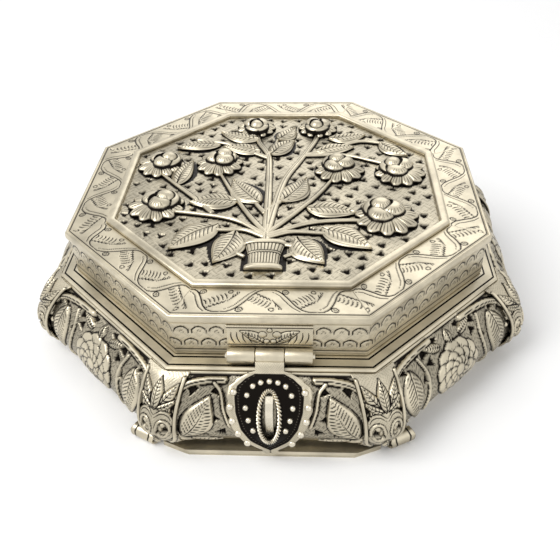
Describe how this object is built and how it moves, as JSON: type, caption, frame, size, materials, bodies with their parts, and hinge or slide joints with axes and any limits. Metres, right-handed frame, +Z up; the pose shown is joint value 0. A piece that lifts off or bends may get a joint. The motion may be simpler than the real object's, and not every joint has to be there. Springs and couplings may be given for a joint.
{
  "type": "octagonal box",
  "caption": "Octagonal silver box with a flared pierced body, a hinged lid worked with a flowering tree in relief, and a hinged hasp that drops over a catch on the front.",
  "frame": {"origin": "centre of the base's underside, on the surface that the box stands on", "axes": "+Z up, front with the hasp towards -Y, +X to the right seen from the front"},
  "size_m": [0.171, 0.1718, 0.0523],
  "materials": {
    "silver": "hand-worked silver with dark oxide in the hollows",
    "dark_silver": "silver with a darkened ground between bright grains",
    "white_metal": "polished"
  },
  "bodies": {
    "base": {"base_floor": "silver", "base_ring": "silver", "side_panel_front": "silver", "side_panel_front_right": "silver", "side_panel_right": "silver", "side_panel_rear_right": "silver", "side_panel_rear": "silver", "side_panel_rear_left": "silver", "side_panel_left": "silver", "side_panel_front_left": "silver", "corner_strap_1": "silver", "corner_strap_2": "silver", "corner_strap_3": "silver", "corner_strap_4": "silver", "corner_strap_5": "silver", "corner_strap_6": "silver", "corner_strap_7": "silver", "corner_strap_8": "silver", "foot_front_right": "silver", "foot_front_left": "silver", "foot_rear_right": "silver", "foot_rear_left": "silver", "body_rim": "silver", "inner_collar": "silver", "hasp_catch": "white_metal", "rear_hinge_body_leaf": "silver", "rear_hinge_pin": "white_metal"},
    "lid": {"lid_top": "silver", "lid_skirt": "silver", "lid_edge_band": "silver", "lid_ridge": "silver", "vase": "silver", "tree_relief": "silver", "flower_head_1": "silver", "flower_head_2": "silver", "flower_head_3": "silver", "flower_head_4": "silver", "flower_head_5": "silver", "flower_head_6": "silver", "flower_head_7": "silver", "flower_head_8": "silver", "rear_hinge_lid_leaf": "silver", "hasp_hinge_plate": "silver", "hasp_hinge_pin": "white_metal"},
    "hasp": {"hasp": "dark_silver"}
  },
  "joints": [
    {"name": "lid_hinge", "type": "hinge", "parent": "base", "child": "lid", "pos_m": [0, 0.0724, 0.0328], "axis": [-1, 0, 0], "range_deg": [0, 105]},
    {"name": "hasp_hinge", "type": "hinge", "parent": "lid", "child": "hasp", "pos_m": [0, -0.0724, 0.0328], "axis": [-1, 0, 0], "range_deg": [0, 130]}
  ]
}
